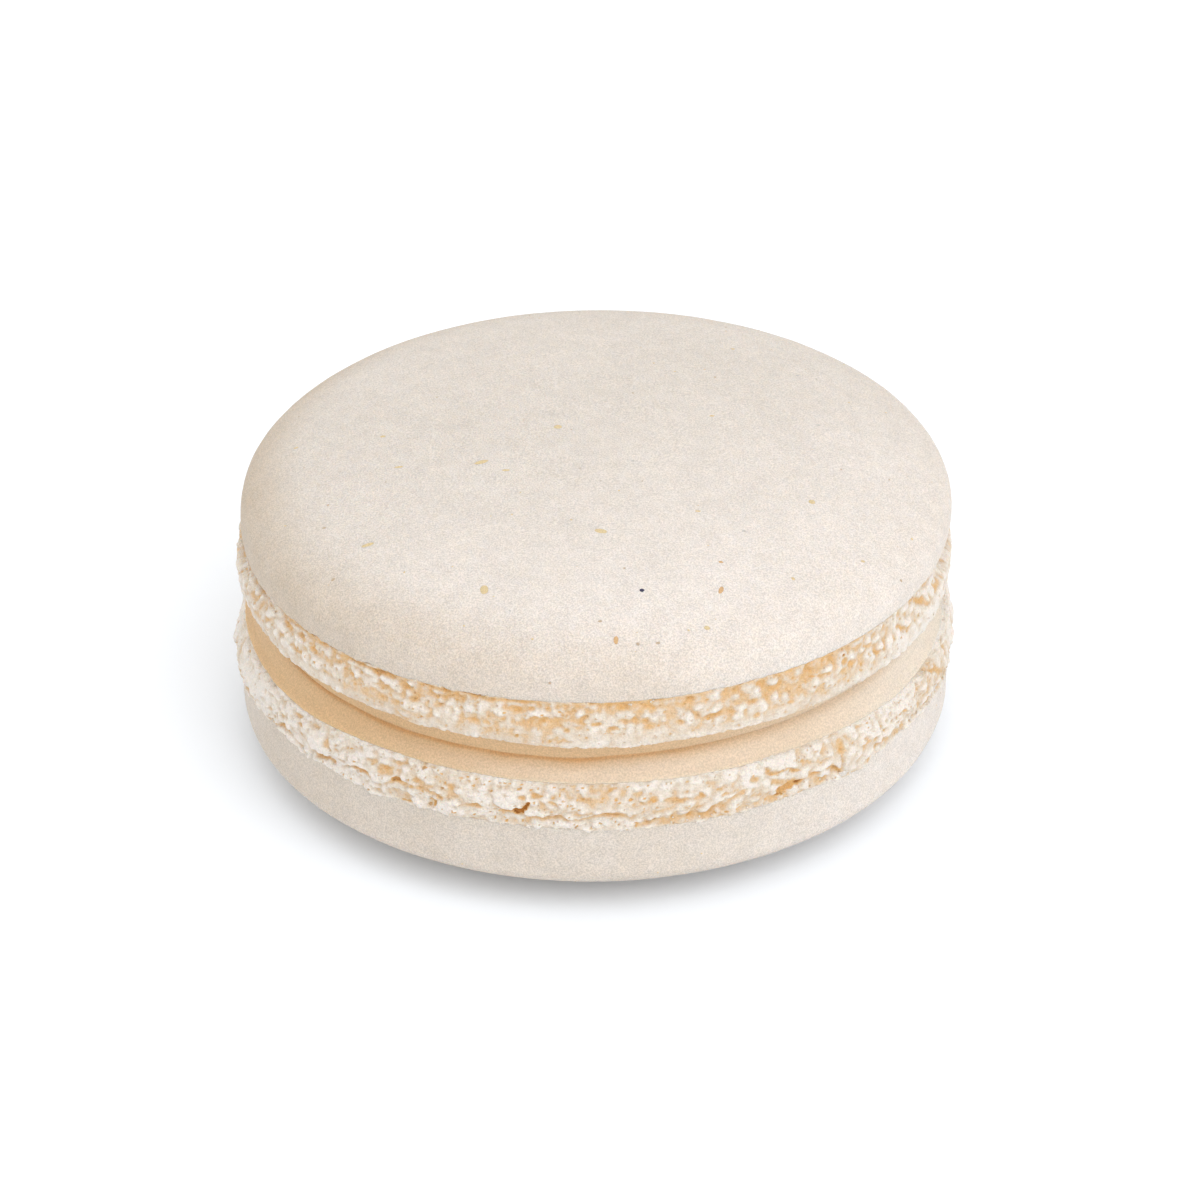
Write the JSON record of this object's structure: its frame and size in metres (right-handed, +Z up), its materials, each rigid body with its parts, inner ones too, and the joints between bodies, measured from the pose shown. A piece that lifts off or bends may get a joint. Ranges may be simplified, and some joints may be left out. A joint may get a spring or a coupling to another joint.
{
  "type": "french macaron",
  "caption": "Round almond meringue sandwich biscuit: two smooth domed shells with ragged feet, held together by a caramel-coloured filling.",
  "frame": {"origin": "bottom centre of the macaron, on the surface that it stands on", "axes": "+Z up through the middle of both shells, -Y towards the front, +X to the right seen from the front"},
  "size_m": [0.0452, 0.0452, 0.0202],
  "materials": {
    "shell": "matt baked meringue, cream with fine grain, tan in the crevices of the foot",
    "filling": "soft caramel cream, satin"
  },
  "bodies": {
    "root": {"upper_shell": "shell", "filling": "filling", "lower_shell": "shell"}
  },
  "joints": []
}
